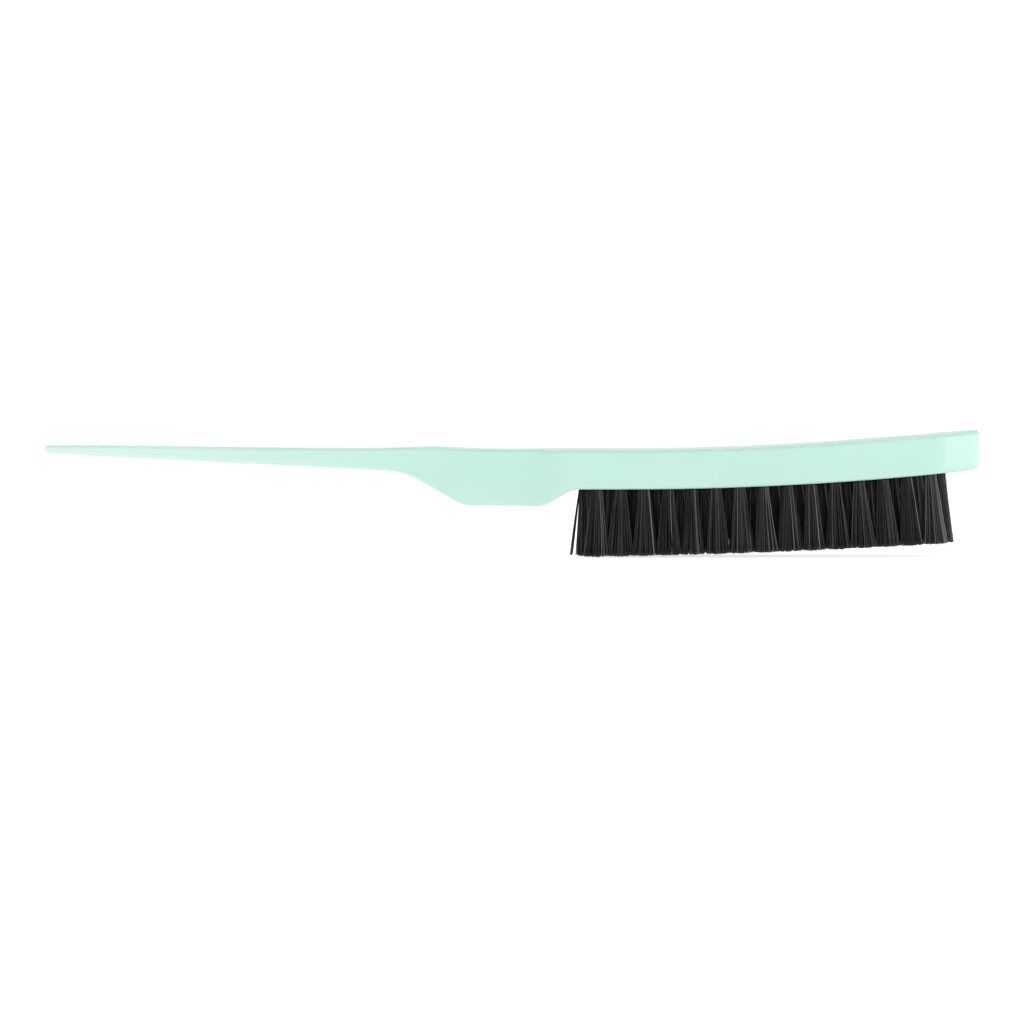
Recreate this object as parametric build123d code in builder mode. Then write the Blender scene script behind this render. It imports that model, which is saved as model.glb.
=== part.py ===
from build123d import *
import os
from math import asin, cos, degrees, radians, sin, sqrt, tan

# A narrow teasing brush with a rat tail: one moulded handle, three staggered rows of
# bristle tufts, and a flat wire anchor that pins each folded tuft into its blind hole.
# Millimetres. +X runs along the brush towards the nose, +Y across it, +Z up. The brush stands
# on its bristle tips, with the middle of its length and width over the origin.

# --- driving dimensions ---

LENGTH = 235.0
NOSE_X = LENGTH / 2
TAIL_TIP_X = -LENGTH / 2

# side view of the handle: heights above the bristle tips
TAIL_TIP_TOP = 28.0
TAIL_TIP_BOTTOM = 26.05
BACK_Z = 27.3  # top of the grip and of the straight start of the head
BACK_SWELL = [  # (x, z) where the tail's top edge sinks, swells, and settles into the grip
    (-80.0, 27.75),
    (-41.0, 27.38),
    (-28.5, 27.52),
    (-20.5, 27.75),
    (-8.0, 27.3),
    (10.0, BACK_Z),
]
BACK_BEND_START = 28.8
BACK_BEND_RADIUS = 745.0
BACK_BEND_END = 88.0  # from here to the nose the back runs straight

HEAD_UNDERSIDE_Z = 17.2
BELLY_CORNERS = [  # (x, z, radius) of the underside's rounded corners, tail to head
    (-27.3, 21.6, 18.0),
    (-12.2, 13.05, 9.0),
    (8.0, 12.85, 5.5),
    (15.1, HEAD_UNDERSIDE_Z, 6.0),
]
UNDERSIDE_BEND_START = 27.2
UNDERSIDE_BEND_RADIUS = 812.0

# plan view of the handle: half widths
TAIL_TIP_HALF = 1.2
TAIL_TAPER = 1.13  # degrees that each side of the tail leans out
GRIP_HALF = 3.9
HEAD_HALF = 6.0
PLAN_CORNERS = [  # (x, half width, radius) of the rounded corners, tail to nose
    (-17.6, 3.15, 17.0),
    (-13.9, GRIP_HALF, 4.0),
    (5.5, GRIP_HALF, 10.0),
    (11.5, HEAD_HALF, 11.0),
    (105.0, HEAD_HALF, 30.0),
    (NOSE_X, 3.0, 2.2),
]

CROWN_RADIUS = 36.0  # the back's gentle arch from side to side
EDGE_ROUNDING = 1.0
STEEP = 0.1  # a face whose normal rises less than this is a wall, not the back or the underside
SPARE = 2.0  # how far a cutting outline is carried past the handle

# bristles
TUFT_PITCH = 5.97
ROW_SPACING = 3.3
MIDDLE_ROW_START = 18.4
OUTER_ROW_START = MIDDLE_ROW_START + TUFT_PITCH / 2  # the rows are staggered by half a pitch
OUTER_ROW_COUNT = 15
MIDDLE_ROW_COUNT = 16
HOLE_DIAMETER = 2.9
HOLE_DEPTH = 6.0
TUFT_REACH = 19.0  # the tufts are flared this far, then trimmed along the tip curve
TUFT_SPREAD_ALONG = 2.35  # half widths of a tuft where it has fanned out
TUFT_SPREAD_ACROSS = 1.5
TIP_CURVE_RADIUS = 1950.0
TIP_CURVE_LOWEST_X = -11.0
TIP_CURVE_Z = -0.19

# flat wire anchors
ANCHOR_THICKNESS = 0.35
ANCHOR_HEIGHT = 1.6
ANCHOR_LENGTH = 3.9
FOLD_THICKNESS = 0.4  # bristle that passes between the anchor and the end of the hole

os.makedirs("parts", exist_ok=True)


def underside_slope(x):
    """Angle in degrees of the head's underside at x."""
    run = max(0.0, x - UNDERSIDE_BEND_START)
    return degrees(asin(run / UNDERSIDE_BEND_RADIUS))


def underside_height(x):
    """Height of the head's underside at x: level, then an arc that lifts towards the nose."""
    run = max(0.0, x - UNDERSIDE_BEND_START)
    return HEAD_UNDERSIDE_Z + UNDERSIDE_BEND_RADIUS - sqrt(UNDERSIDE_BEND_RADIUS**2 - run**2)


def back_height(x):
    """Height of the head's back at x: level, an arc, then straight up to the nose."""
    run = min(max(0.0, x - BACK_BEND_START), BACK_BEND_END - BACK_BEND_START)
    arc_height = BACK_BEND_RADIUS - sqrt(BACK_BEND_RADIUS**2 - run**2)
    final_slope = tan(asin(run / BACK_BEND_RADIUS))
    return BACK_Z + arc_height + final_slope * max(0.0, x - BACK_BEND_END)


def tip_curve_angle(x):
    """Direction in degrees, seen from the tip curve's centre, of the curve's point at x."""
    return degrees(asin((x - TIP_CURVE_LOWEST_X) / TIP_CURVE_RADIUS)) - 90


def tuft_root(x, y):
    """The plane on the underside whose +Z points out of a tuft's hole, along its bristles."""
    slope = radians(underside_slope(x))
    return Plane(
        origin=(x, y, underside_height(x)),
        x_dir=(cos(slope), 0, sin(slope)),
        z_dir=(sin(slope), 0, -cos(slope)),
    )


def finish(piece, name):
    """Label a piece and write its STEP file."""
    piece.part.label = name
    export_step(piece.part, f"parts/{name}.step")


def anchor_plane(root):
    """The plane of an anchor's inner edge, deep in its tuft's hole."""
    return root.offset(FOLD_THICKNESS - HOLE_DEPTH)


rows = {
    "near": [tuft_root(OUTER_ROW_START + TUFT_PITCH * n, -ROW_SPACING) for n in range(OUTER_ROW_COUNT)],
    "middle": [tuft_root(MIDDLE_ROW_START + TUFT_PITCH * n, 0) for n in range(MIDDLE_ROW_COUNT)],
    "far": [tuft_root(OUTER_ROW_START + TUFT_PITCH * n, ROW_SPACING) for n in range(OUTER_ROW_COUNT)],
}
roots = [root for row in rows.values() for root in row]

# --- handle: tail, grip and head in one moulding ---

with BuildLine(Plane.XZ) as back_line:
    bend_points = [BACK_BEND_START + step / 3 * (BACK_BEND_END - BACK_BEND_START) for step in range(4)]
    Spline(
        (TAIL_TIP_X - 2 * SPARE, TAIL_TIP_TOP),
        *BACK_SWELL,
        *[(x, back_height(x)) for x in [*bend_points, NOSE_X + SPARE]],
    )

with BuildPart() as handle:
    # the side view, left tall: the crown trims the top
    with BuildSketch(Plane.XZ):
        with BuildLine():
            belly = FilletPolyline(
                (TAIL_TIP_X - SPARE / 2, TAIL_TIP_BOTTOM),
                *[(x, z) for x, z, radius in BELLY_CORNERS],
                (UNDERSIDE_BEND_START, HEAD_UNDERSIDE_Z),
                radius=[radius for x, z, radius in BELLY_CORNERS],
            )
            underside = JernArc(belly @ 1, (1, 0), UNDERSIDE_BEND_RADIUS, underside_slope(NOSE_X + SPARE / 2))
            Polyline(
                underside @ 1,
                (NOSE_X + SPARE / 2, 2 * BACK_Z),
                (TAIL_TIP_X - SPARE / 2, 2 * BACK_Z),
                belly @ 0,
            )
        make_face()
    extrude(amount=HEAD_HALF + SPARE, both=True)

    # the plan view, round at the tail's tip and blunt at the nose
    with BuildSketch():
        with BuildLine():
            tip = JernArc((TAIL_TIP_X, 0), (0, 1), TAIL_TIP_HALF, TAIL_TAPER - 90)
            side = FilletPolyline(
                tip @ 1,
                *[(x, half) for x, half, radius in PLAN_CORNERS],
                (NOSE_X, 0),
                radius=[radius for x, half, radius in PLAN_CORNERS],
            )
            mirror(tip, about=Plane.XZ)
            mirror(side, about=Plane.XZ)
        make_face()
    extrude(amount=2 * BACK_Z, mode=Mode.INTERSECT)

    # the crown: a shallow arch that follows the back from end to end
    section = Plane(origin=back_line.line @ 0, x_dir=(0, 1, 0), z_dir=back_line.line % 0)
    with BuildSketch(section):
        with BuildLine():
            half = HEAD_HALF + SPARE
            drop = CROWN_RADIUS - sqrt(CROWN_RADIUS**2 - half**2)
            ThreePointArc((-half, -drop), (0, 0), (half, -drop))
            Polyline((half, -drop), (half, 2 * BACK_Z), (-half, 2 * BACK_Z), (-half, -drop))
        make_face()
    sweep(path=back_line.line, mode=Mode.SUBTRACT)

    walls = faces().filter_by(lambda face: abs(face.normal_at().Z) < STEEP)
    rims = walls.edges() & (faces() - walls).edges()
    fillet(rims, radius=EDGE_ROUNDING)

    # blind holes for the tufts, and the slots that the anchors bite into the holes' walls
    with BuildSketch(*[root.offset(HOLE_DEPTH) for root in roots]):
        Circle(HOLE_DIAMETER / 2)
    extrude(amount=-2 * HOLE_DEPTH, mode=Mode.SUBTRACT)
    with BuildSketch(*[anchor_plane(root) for root in roots]):
        Rectangle(ANCHOR_THICKNESS, ANCHOR_LENGTH)
    extrude(amount=ANCHOR_HEIGHT, mode=Mode.SUBTRACT)

finish(handle, "handle")

# --- tufts and anchors, row by row ---

with BuildPart() as above_tips:
    with BuildSketch(Plane.XZ):
        with BuildLine():
            arc = CenterArc(
                (TIP_CURVE_LOWEST_X, TIP_CURVE_RADIUS + TIP_CURVE_Z),
                TIP_CURVE_RADIUS,
                tip_curve_angle(0),
                tip_curve_angle(NOSE_X) - tip_curve_angle(0),
            )
            Polyline(arc @ 1, (NOSE_X, 2 * BACK_Z), (0, 2 * BACK_Z), arc @ 0)
        make_face()
    extrude(amount=HEAD_HALF + SPARE, both=True)

for row, roots_in_row in rows.items():
    with BuildPart() as anchors:
        with BuildSketch(*[anchor_plane(root) for root in roots_in_row]):
            Rectangle(ANCHOR_THICKNESS, ANCHOR_LENGTH)
        extrude(amount=ANCHOR_HEIGHT)
    finish(anchors, f"{row}_row_anchors")

    for number, root in enumerate(roots_in_row, start=1):
        with BuildPart() as tuft:
            with BuildSketch(root.offset(-HOLE_DEPTH)):
                Circle(HOLE_DIAMETER / 2)
            extrude(amount=HOLE_DEPTH)
            with BuildSketch(root):
                Circle(HOLE_DIAMETER / 2)
            with BuildSketch(root.offset(TUFT_REACH)):
                Ellipse(TUFT_SPREAD_ALONG, TUFT_SPREAD_ACROSS)
            loft()
            add(above_tips.part, mode=Mode.INTERSECT)
            with BuildSketch(anchor_plane(root)):
                Rectangle(ANCHOR_THICKNESS, ANCHOR_LENGTH)
            extrude(amount=ANCHOR_HEIGHT, mode=Mode.SUBTRACT)
        finish(tuft, f"{row}_tuft_{number:02d}")
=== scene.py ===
import math

import bpy
import numpy as np
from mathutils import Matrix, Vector


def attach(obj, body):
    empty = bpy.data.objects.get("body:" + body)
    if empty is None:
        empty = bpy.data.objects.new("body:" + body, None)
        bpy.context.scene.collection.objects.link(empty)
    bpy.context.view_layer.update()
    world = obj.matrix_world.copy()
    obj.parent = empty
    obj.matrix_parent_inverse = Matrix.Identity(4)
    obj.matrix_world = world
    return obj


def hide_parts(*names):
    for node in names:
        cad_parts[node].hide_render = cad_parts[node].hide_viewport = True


MM = 0.001

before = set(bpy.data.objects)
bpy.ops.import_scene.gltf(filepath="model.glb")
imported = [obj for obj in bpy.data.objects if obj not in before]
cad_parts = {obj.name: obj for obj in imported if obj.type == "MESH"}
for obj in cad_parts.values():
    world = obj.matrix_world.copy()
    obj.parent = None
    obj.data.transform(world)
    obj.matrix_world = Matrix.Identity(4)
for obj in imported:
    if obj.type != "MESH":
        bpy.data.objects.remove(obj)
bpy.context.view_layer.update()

# --- tufts ---

ROWS = {"near": 15, "middle": 16, "far": 15}
TUFT_NAMES = [f"{row}_tuft_{n:02d}" for row, count in ROWS.items() for n in range(1, count + 1)]
FIRST_TUFT, LAST_TUFT = "middle_tuft_01", "middle_tuft_16"
NOSE_TUFTS = ["near_tuft_15", "middle_tuft_15", "middle_tuft_16", "far_tuft_15"]

HOLE_RADIUS = 1.45 * MM
HOLE_DEPTH = 6.0 * MM
HIDDEN_LENGTH = 1.2 * MM  # how far a filament is carried on up into its hole
INNER_SLICE = 0.35 * MM  # how much of each end of a CAD tuft is read to find the end's middle
OUTER_SLICE = 0.45 * MM
FLOOR_CLEARANCE = 0.02 * MM  # the lowest that a filament may end

FILAMENT_RADIUS = 0.115 * MM
FILAMENT_SPACING = 0.252 * MM
FILAMENT_SIDES = 6
FILAMENT_RINGS = 9

TIP_FAN_ALONG = 1.35  # how far a filament leans out, lengthwise, over its distance from the tuft's middle
TIP_FAN_ACROSS = 0.25
END_FAN = 0.3  # share of that fan left on the outer side of the first and the last tuft
LOCKS = 8
LOCK_PULL = (0.05, 0.35)  # share of the way that a lock draws its filaments together
STRAY_REACHES = [-2.3 * MM, -2.0 * MM, -2.1 * MM, -1.85 * MM, -0.95 * MM]  # loose filaments at the grip's end

SEED = 46
# standard deviations of what differs from tuft to tuft, or from filament to filament
FAN_VARIATION = 0.12
TUFT_LEAN = 0.15 * MM
ROOT_JITTER = 0.012 * MM
TIP_JITTER_ALONG = 0.22 * MM
TIP_JITTER_ACROSS = 0.15 * MM
BOW_JITTER = 0.08 * MM
TRIM_JITTER = 0.06 * MM

TONES = (0.5, 6.5)  # shape of the spread of light and dark filaments: mostly dark, a few light
NOSE_HIGHLIGHT_TONES = (0.9, 4.0)  # painted highlight: the tufts at the nose are painted lighter, where the right lamp lights the brush's end
HIGHLIGHT_TONES = (0.4, 1.0)
# painted highlights: filaments painted light on each tuft's side towards the nose, where the right lamp
# catches them: how many, and how far out they start, as a share of the hole's radius
HIGHLIGHT_FILAMENTS, HIGHLIGHT_START = 6, 0.25
NOSE_HIGHLIGHT_FILAMENTS, NOSE_HIGHLIGHT_START = 14, 0.55

# --- looks that follow the object's coordinates ---

PAINTED_GLOW_X = -112 * MM  # painted light: the plastic is painted palest from here to the tail's tip, for light shining through the slender tail
PLAIN_TAIL_X = -25 * MM  # and has its plain colour from here to the nose
TIP_BROWN = 0.7  # how far the nylon has gone from black to brown at the tips
BLACK_Z = 14 * MM  # and the height where it is all black

# --- studio ---

BRUSH_MIDDLE = Vector((0.13, 0.0, 11.18)) * MM
CAMERA_DISTANCE = 600 * MM
CAMERA_ELEVATION = math.radians(4.5)
WIDTH_SEEN = 258.5 * MM
SENSOR_WIDTH = 36.0  # millimetres, as Blender counts it
CLIP_START = 10 * MM
FLOOR_RADIUS = 300 * MM
FLOOR_SIDES = 96
WALL_GREYS = [(0.0, 1.0), (0.37, 1.0), (0.44, 0.2), (0.86, 0.2), (0.96, 0.7)]  # (sine of elevation, grey)
WALL_STRENGTH = 1.05
SOFTBOXES = [  # name, place, size, radiance
    ("overhead", (0.0, -0.05, 0.9), (1.3, 0.6), 1.1),
    ("front", (0.0, -0.9, 0.55), (0.9, 0.5), 1.3),
    ("back", (0.0, 0.75, 0.7), (0.9, 0.5), 1.6),
    ("right", (0.68, -0.30, 0.12), (0.7, 0.36), 3.0),
    ("left", (-0.64, -0.40, 0.12), (0.5, 0.36), 2.4),
]


# --- materials ---


def set_stops(node, stops):
    """Give a colour ramp node its (position, colour) stops."""
    elements = node.color_ramp.elements
    while len(elements) < len(stops):
        elements.new(0.5)
    for element, (position, colour) in zip(elements, stops):
        element.position = position
        element.color = (*colour, 1.0)


class Shader:
    """A node material with a Principled surface, and short ways to add to it."""

    def __init__(self, name):
        self.material = bpy.data.materials.new(name)
        self.material.use_nodes = True
        self.tree = self.material.node_tree
        self.surface = self.tree.nodes["Principled BSDF"]

    def node(self, kind, **settings):
        """A new node; settings are its own properties, or its inputs' values by input name."""
        made = self.tree.nodes.new(kind)
        for key, value in settings.items():
            if hasattr(made, key):
                setattr(made, key, value)
            else:
                made.inputs[key.replace("_", " ")].default_value = value
        return made

    def link(self, start, end):
        """Join an output socket to an input socket."""
        self.tree.links.new(start, end)

    def set(self, **values):
        """Plain values on the Principled shader's own sockets."""
        for key, value in values.items():
            self.surface.inputs[key.replace("_", " ")].default_value = value

    def place(self, stretch=(1, 1, 1)):
        """Object coordinates in metres, stretched per axis."""
        coordinates = self.node("ShaderNodeTexCoord")
        mapping = self.node("ShaderNodeMapping")
        mapping.inputs["Scale"].default_value = stretch
        self.link(coordinates.outputs["Object"], mapping.inputs["Vector"])
        return mapping.outputs["Vector"]

    def axis(self, name):
        """One object coordinate, in metres."""
        parts = self.node("ShaderNodeSeparateXYZ")
        self.link(self.place(), parts.inputs["Vector"])
        return parts.outputs[name]

    def mix(self, share, first, second):
        """first, going over to second as share goes from 0 to 1."""
        made = self.node("ShaderNodeMix", data_type="RGBA")
        self.link(share, made.inputs["Factor"])
        # the node has sockets of these names for every data type: 6, 7 and result 2 are the colours
        self.link(first, made.inputs[6])
        self.link(second, made.inputs[7])
        return made.outputs[2]

    def noise(self, scale, detail, roughness=0.5, stretch=(1, 1, 1)):
        """Noise of about scale lumps to the metre, fewer along an axis stretched by less than 1."""
        made = self.node("ShaderNodeTexNoise", Scale=scale, Detail=detail, Roughness=roughness)
        self.link(self.place(stretch), made.inputs["Vector"])
        return made.outputs["Fac"]

    def ramp(self, source, stops):
        """A colour ramp over source, from (position, colour) stops."""
        made = self.node("ShaderNodeValToRGB")
        set_stops(made, stops)
        self.link(source, made.inputs["Fac"])
        return made.outputs["Color"]

    def span(self, source, low, high, start, stop):
        """source remapped from start..stop to low..high."""
        made = self.node("ShaderNodeMapRange")
        for name, value in (("From Min", start), ("From Max", stop), ("To Min", low), ("To Max", high)):
            made.inputs[name].default_value = value
        self.link(source, made.inputs["Value"])
        return made.outputs["Result"]

    def bump(self, height, distance, strength, normal=None):
        """Relief from height, distance deep in metres, on top of normal if there is one."""
        made = self.node("ShaderNodeBump", Strength=strength, Distance=distance)
        self.link(height, made.inputs["Height"])
        if normal is not None:
            self.link(normal, made.inputs["Normal"])
        return made.outputs["Normal"]


def mint_plastic():
    """Pale mint moulded plastic: semi-gloss, with flow tone and scuffs, and painted paler towards the tail's
    tip for light shining through the slender plastic.
    """
    shader = Shader("mint_plastic")
    shader.set(IOR=1.49)
    flow = shader.noise(60.0, 2.0, 0.4, stretch=(0.35, 1.0, 1.0))
    # painted light: the slender tail's colour is painted paler, for light shining through it
    plain_colour = shader.ramp(flow, [(0.35, (0.412, 0.633, 0.551)), (0.65, (0.424, 0.647, 0.563))])
    glow_colour = shader.ramp(flow, [(0.35, (0.512, 0.680, 0.598)), (0.65, (0.524, 0.692, 0.610))])
    painted_glow = shader.span(shader.axis("X"), 1.0, 0.0, PAINTED_GLOW_X, PLAIN_TAIL_X)
    shader.link(shader.mix(painted_glow, plain_colour, glow_colour), shader.surface.inputs["Base Color"])
    smears = shader.noise(240.0, 4.0, 0.55, stretch=(0.5, 1.0, 1.0))
    shader.link(shader.span(smears, 0.16, 0.24, 0.3, 0.7), shader.surface.inputs["Roughness"])
    skin = shader.bump(shader.noise(900.0, 2.0), 0.00002, 0.2)
    scratches = shader.noise(2600.0, 2.0, 0.6, stretch=(0.06, 1.0, 1.0))
    fine = shader.bump(scratches, 0.000008, 0.2, skin)
    shader.link(fine, shader.surface.inputs["Normal"])
    return shader.material


def bristle_nylon():
    """Black nylon filament: satin, each filament a little lighter or darker, some painted light as
    highlights, browner towards the tips.
    """
    shader = Shader("bristle_nylon")
    shader.set(IOR=1.53, Specular_IOR_Level=0.22)
    tone = shader.node("ShaderNodeAttribute", attribute_name="filament_tone")
    black = shader.ramp(tone.outputs["Fac"], [(0.0, (0.0018, 0.0018, 0.0020)), (1.0, (0.165, 0.160, 0.153))])
    brown = shader.ramp(tone.outputs["Fac"], [(0.0, (0.0032, 0.0027, 0.0023)), (1.0, (0.195, 0.179, 0.162))])
    near_tip = shader.span(shader.axis("Z"), TIP_BROWN, 0.0, 0.0, BLACK_Z)
    shader.link(shader.mix(near_tip, black, brown), shader.surface.inputs["Base Color"])
    grain = shader.noise(5000.0, 3.0, 0.6, stretch=(1.0, 1.0, 0.08))
    shader.link(shader.span(grain, 0.24, 0.40, 0.3, 0.7), shader.surface.inputs["Roughness"])
    shader.link(shader.bump(grain, 0.00001, 0.3), shader.surface.inputs["Normal"])
    return shader.material


def anchor_wire():
    """Flattened steel wire with fine drawing lines."""
    shader = Shader("anchor_wire")
    shader.set(Metallic=1.0)
    lines = shader.noise(3000.0, 3.0, 0.6, stretch=(1.0, 0.05, 1.0))
    shader.link(
        shader.ramp(lines, [(0.3, (0.46, 0.44, 0.41)), (0.7, (0.60, 0.58, 0.55))]),
        shader.surface.inputs["Base Color"],
    )
    shader.link(shader.span(lines, 0.25, 0.45, 0.3, 0.7), shader.surface.inputs["Roughness"])
    shader.link(shader.bump(lines, 0.00001, 0.3), shader.surface.inputs["Normal"])
    return shader.material


def light_table():
    """White acrylic, softly lit from below."""
    shader = Shader("light_table")
    shader.set(Base_Color=(0.6, 0.6, 0.6, 1.0), Roughness=0.9, Specular_IOR_Level=0.1)
    shader.set(Emission_Color=(1.0, 1.0, 1.0, 1.0), Emission_Strength=0.7)
    return shader.material


# --- bristles ---


def tuft_line(name):
    """(mouth, tip): the middles of a tuft where it leaves its hole and at its trimmed end."""
    points = np.array([vertex.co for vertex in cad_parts[name].data.vertices])
    heights = points[:, 2]
    inner = points[heights > heights.max() - INNER_SLICE]
    outer = points[heights < heights.min() + OUTER_SLICE]
    inner, outer = [(end.min(0) + end.max(0)) / 2 for end in (inner, outer)]
    direction = (outer - inner) / np.linalg.norm(outer - inner)
    return inner + direction * HOLE_DEPTH, outer


def packed_circle(radius, spacing):
    """Points of a honeycomb inside a circle, as filaments pack in a round hole."""
    reach = int(radius / spacing) + 2
    columns, rows = np.meshgrid(np.arange(-reach, reach + 1), np.arange(-reach, reach + 1))
    points = np.stack([(columns + 0.5 * (rows % 2)) * spacing, rows * spacing * math.sqrt(0.75)], axis=-1)
    points = points.reshape(-1, 2)
    return points[np.hypot(*points.T) <= radius]


def tube_mesh(name, paths, tones):
    """One mesh of closed round tubes; paths is filaments x rings x 3, tones is one number per filament."""
    count, rings, _ = paths.shape
    along = np.gradient(paths, axis=1)
    along /= np.linalg.norm(along, axis=2, keepdims=True)
    side = np.cross(along, (0.0, 1.0, 0.0))
    side /= np.linalg.norm(side, axis=2, keepdims=True)
    other = np.cross(along, side)
    angles = np.arange(FILAMENT_SIDES) * 2 * math.pi / FILAMENT_SIDES
    spokes = side[:, :, None] * np.cos(angles)[:, None] + other[:, :, None] * np.sin(angles)[:, None]
    vertices = (paths[:, :, None] + spokes * FILAMENT_RADIUS).reshape(-1, 3)

    corner = np.arange(FILAMENT_SIDES)
    following = (corner + 1) % FILAMENT_SIDES
    ring = np.stack([corner, following, following + FILAMENT_SIDES, corner + FILAMENT_SIDES], axis=1)
    tube = (ring + np.arange(rings - 1)[:, None, None] * FILAMENT_SIDES).reshape(-1, 4)
    per_filament = rings * FILAMENT_SIDES
    faces = []
    for first in range(0, count * per_filament, per_filament):
        faces += (tube + first).tolist()
        faces.append((corner[::-1] + first).tolist())
        faces.append((corner + first + per_filament - FILAMENT_SIDES).tolist())

    mesh = bpy.data.meshes.new(name)
    mesh.from_pydata(vertices.tolist(), [], faces)
    mesh.polygons.foreach_set("use_smooth", [len(face) == 4 for face in faces])
    attribute = mesh.attributes.new("filament_tone", "FLOAT", "POINT")
    attribute.data.foreach_set("value", np.repeat(tones, per_filament))
    mesh.update()
    piece = bpy.data.objects.new(name, mesh)
    bpy.context.scene.collection.objects.link(piece)
    return piece


def tip_offsets(spots, name, rng):
    """How far each filament's tip ends up from its place at the root, lengthwise and across."""
    count = len(spots)
    fan = np.full(count, rng.normal(TIP_FAN_ALONG, FAN_VARIATION))
    if name == FIRST_TUFT:
        fan[spots[:, 0] < 0] *= END_FAN
    if name == LAST_TUFT:
        fan[spots[:, 0] > 0] *= END_FAN
    along = spots[:, 0] * fan + rng.normal(0, TUFT_LEAN) + rng.normal(0, TIP_JITTER_ALONG, count)
    across = spots[:, 1] * TIP_FAN_ACROSS + rng.normal(0, TIP_JITTER_ACROSS, count)
    # filaments cling together in a few locks
    locks = spots[rng.choice(count, LOCKS, replace=False)]
    nearest = np.linalg.norm(spots[:, None] - locks, axis=2).argmin(1)
    pull = (locks[nearest] - spots) * rng.uniform(*LOCK_PULL, LOCKS)[nearest][:, None]
    return np.stack([along, across], axis=1) + pull


def filament_tones(spots, name, rng):
    """How light each filament is, from 0 to 1: a random tone, with painted highlights towards the nose."""
    at_nose = name in NOSE_TUFTS
    tones = rng.beta(*(NOSE_HIGHLIGHT_TONES if at_nose else TONES), len(spots))
    # painted highlights: filaments on the nose side, and the nose's tufts, are made lighter for the right
    # lamp's gleam
    highlight_start = NOSE_HIGHLIGHT_START if at_nose else HIGHLIGHT_START
    highlight_count = NOSE_HIGHLIGHT_FILAMENTS if at_nose else HIGHLIGHT_FILAMENTS
    nose_side = np.flatnonzero(spots[:, 0] > highlight_start * HOLE_RADIUS)
    highlighted = rng.choice(nose_side, highlight_count, replace=False)
    tones[highlighted] = rng.uniform(*HIGHLIGHT_TONES, highlight_count)
    return tones


def make_tuft(name, mouth, tip, tip_height, rng):
    """A tuft's filaments in one mesh, from inside its hole at mouth to the tip curve."""
    length = np.linalg.norm(tip - mouth)
    direction = (tip - mouth) / length
    across = np.array((0.0, 1.0, 0.0))
    along = np.cross(direction, across)
    along *= np.sign(along[0])

    spots = packed_circle(HOLE_RADIUS - FILAMENT_RADIUS, FILAMENT_SPACING)
    spots = spots + rng.normal(0, ROOT_JITTER, spots.shape)
    offsets = tip_offsets(spots, name, rng)
    if name == FIRST_TUFT:
        leftmost = np.argsort(spots[:, 0])[: len(STRAY_REACHES)]
        offsets[leftmost, 0] = STRAY_REACHES

    steps = np.linspace(-HIDDEN_LENGTH, length, FILAMENT_RINGS)
    fraction = np.clip(steps / length, 0, 1)
    bow = rng.normal(0, BOW_JITTER, (len(spots), 1, 2)) * np.sin(math.pi * fraction)[:, None]
    shift = spots[:, None] + offsets[:, None] * fraction[:, None] + bow
    paths = mouth + direction * steps[:, None] + along * shift[..., :1] + across * shift[..., 1:]
    # trim each filament at the tip curve, a little higher the more it leans, and a hair long or short
    lift = 0.5 * (offsets**2).sum(1) / length + rng.normal(0, TRIM_JITTER, len(spots))
    ends = np.maximum(tip_height(paths[:, -1, 0]) + lift, FLOOR_CLEARANCE)
    starts = paths[:, :1]
    stretch = (starts[:, 0, 2] - ends) / (starts[:, 0, 2] - paths[:, -1, 2])
    paths = starts + (paths - starts) * stretch[:, None, None]
    return tube_mesh(name + "_filaments", paths, filament_tones(spots, name, rng))


def make_bristles(material):
    """Replace every CAD tuft with its filaments."""
    lines = {name: tuft_line(name) for name in TUFT_NAMES}
    tips = sorted((tip[0], tip[2]) for mouth, tip in lines.values())
    tip_x, tip_z = np.array(tips).T

    def tip_height(x):
        return np.interp(x, tip_x, tip_z)

    rng = np.random.default_rng(SEED)
    for name, (mouth, tip) in lines.items():
        tuft = make_tuft(name, mouth, tip, tip_height, rng)
        tuft.data.materials.append(material)
        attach(tuft, "root")
        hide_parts(name)


def paint(node, material):
    """Give a CAD node its material."""
    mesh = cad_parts[node].data
    mesh.materials.clear()
    mesh.materials.append(material)


# --- studio ---


def softbox(name, place, size, radiance):
    """A rectangular area light aimed at the brush, as bright as radiance wherever it is seen."""
    light = bpy.data.lights.new(name, "AREA")
    light.shape = "RECTANGLE"
    light.size, light.size_y = size
    light.energy = radiance * math.pi * size[0] * size[1]
    lamp = bpy.data.objects.new(name, light)
    lamp.location = place
    lamp.rotation_euler = (BRUSH_MIDDLE - Vector(place)).to_track_quat("-Z", "Y").to_euler()
    bpy.context.scene.collection.objects.link(lamp)


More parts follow.
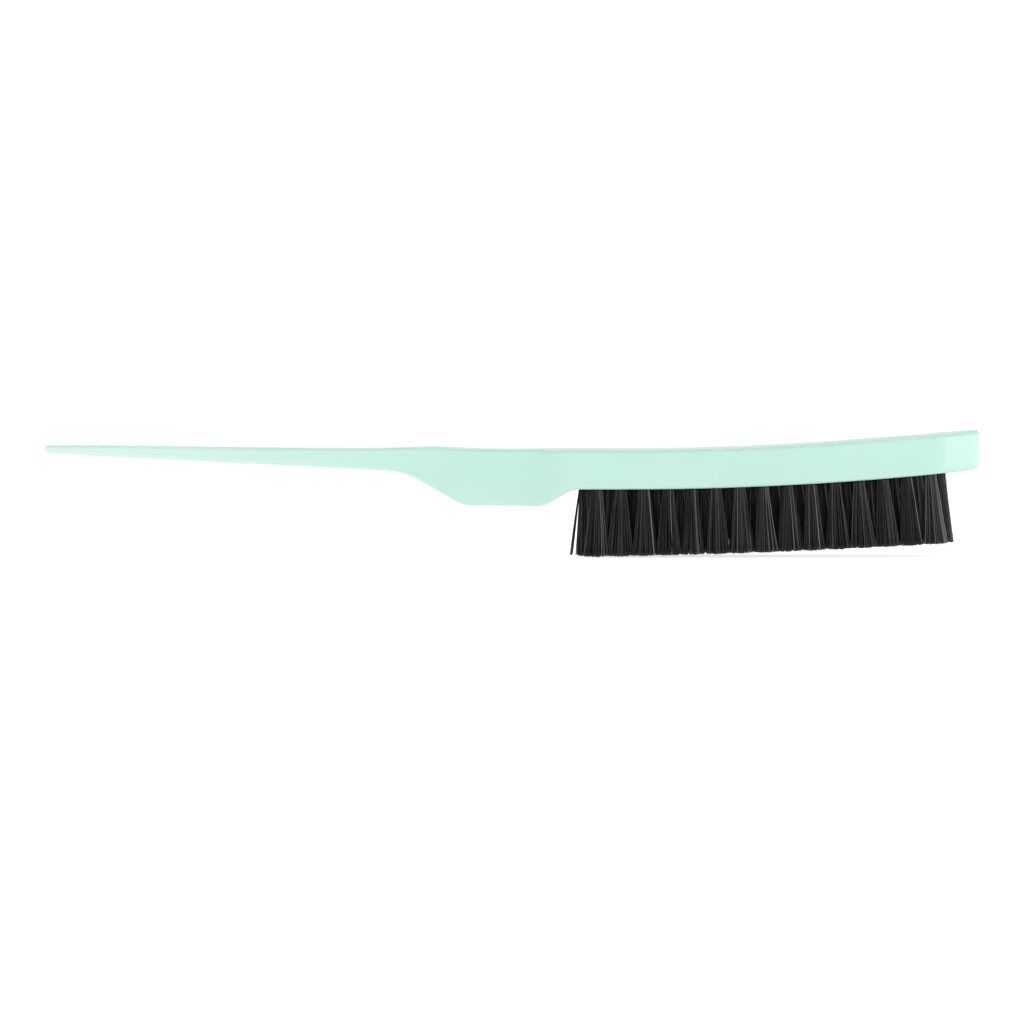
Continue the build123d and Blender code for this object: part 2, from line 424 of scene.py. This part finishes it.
def studio_walls():
    """A light tent: white up to 22 degrees above the floor, dark grey from 26 to 59, pale grey overhead."""
    world = bpy.data.worlds.new("studio_walls")
    world.use_nodes = True
    tree = world.node_tree
    coordinates = tree.nodes.new("ShaderNodeTexCoord")
    height = tree.nodes.new("ShaderNodeSeparateXYZ")
    ramp = tree.nodes.new("ShaderNodeValToRGB")
    tree.links.new(coordinates.outputs["Generated"], height.inputs["Vector"])
    tree.links.new(height.outputs["Z"], ramp.inputs["Fac"])
    tree.links.new(ramp.outputs["Color"], tree.nodes["Background"].inputs["Color"])
    set_stops(ramp, [(position, (grey, grey, grey)) for position, grey in WALL_GREYS])
    tree.nodes["Background"].inputs["Strength"].default_value = WALL_STRENGTH
    return world


def make_studio():
    """The floor, the lights, the walls and plain colour handling."""
    angles = [math.tau * step / FLOOR_SIDES for step in range(FLOOR_SIDES)]
    rim = [(FLOOR_RADIUS * math.cos(angle), FLOOR_RADIUS * math.sin(angle), 0) for angle in angles]
    mesh = bpy.data.meshes.new("studio_floor")
    mesh.from_pydata(rim, [], [range(FLOOR_SIDES)])
    floor = bpy.data.objects.new("studio_floor", mesh)
    floor.data.materials.append(light_table())
    bpy.context.scene.collection.objects.link(floor)

    for name, place, size, radiance in SOFTBOXES:
        softbox(name, place, size, radiance)

    scene = bpy.context.scene
    scene.world = studio_walls()
    scene.view_settings.view_transform = "Standard"
    scene.view_settings.look = "None"


def make_camera():
    """A camera in the photograph's place, a little above the brush's side."""
    data = bpy.data.cameras.new("camera")
    data.sensor_width = SENSOR_WIDTH
    data.lens = SENSOR_WIDTH * CAMERA_DISTANCE / WIDTH_SEEN
    data.clip_start = CLIP_START
    camera = bpy.data.objects.new("camera", data)
    away = Vector((0.0, -math.cos(CAMERA_ELEVATION), math.sin(CAMERA_ELEVATION)))
    camera.location = BRUSH_MIDDLE + CAMERA_DISTANCE * away
    camera.rotation_euler = (-away).to_track_quat("-Z", "Y").to_euler()
    bpy.context.scene.collection.objects.link(camera)
    bpy.context.scene.camera = camera


make_camera()
make_studio()
paint("handle", mint_plastic())
steel = anchor_wire()
for row in ROWS:
    paint(f"{row}_row_anchors", steel)
make_bristles(bristle_nylon())
